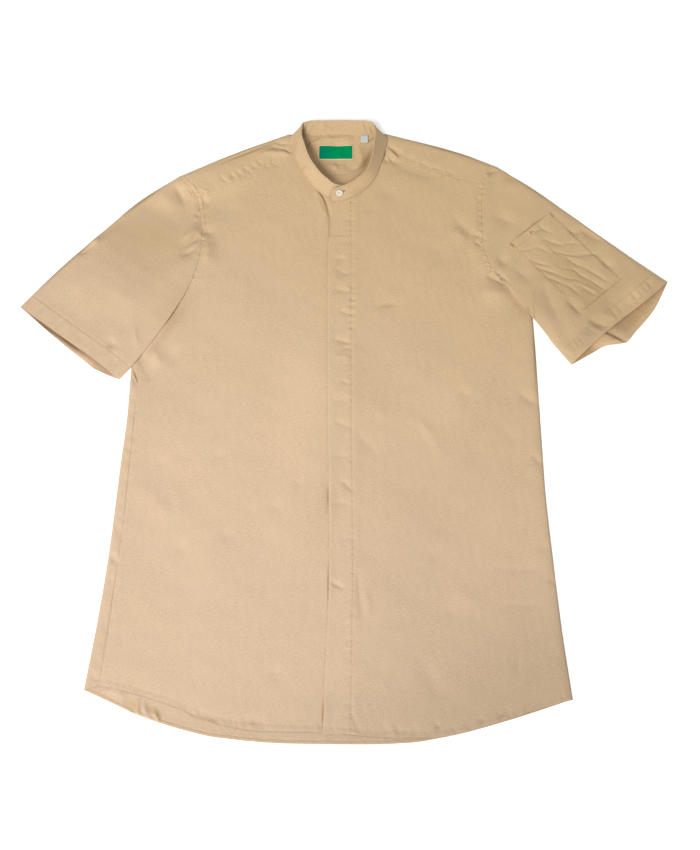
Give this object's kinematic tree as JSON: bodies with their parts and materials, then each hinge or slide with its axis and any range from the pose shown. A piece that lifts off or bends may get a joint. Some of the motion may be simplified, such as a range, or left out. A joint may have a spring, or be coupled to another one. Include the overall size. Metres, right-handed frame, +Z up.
{
  "type": "chef jacket",
  "caption": "Short-sleeved band-collar chef shirt-jacket with a covered placket and a sleeve pen pocket, laid flat face up.",
  "frame": {"origin": "the middle of the box's base, on the surface that the jacket lies on", "axes": "+X to the wearer's left side, +Y from the hem towards the neck, +Z up out of the front"},
  "size_m": [0.8688, 0.8436, 0.0251],
  "materials": {
    "cloth": "smooth beige cotton twill with a slight sheen",
    "button": "pearly off-white",
    "label": "woven green, bare, with a pale stitched edge",
    "tag": "woven pale grey, bare"
  },
  "bodies": {
    "root": {"back_panel": "cloth", "yoke": "cloth", "front_right": "cloth", "front_left": "cloth", "placket": "cloth", "placket_top": "cloth", "collar_band": "cloth", "sleeve_right": "cloth", "sleeve_left": "cloth", "sleeve_pocket": "cloth", "collar_button": "button", "neck_label": "label", "size_tag": "tag"}
  },
  "joints": []
}
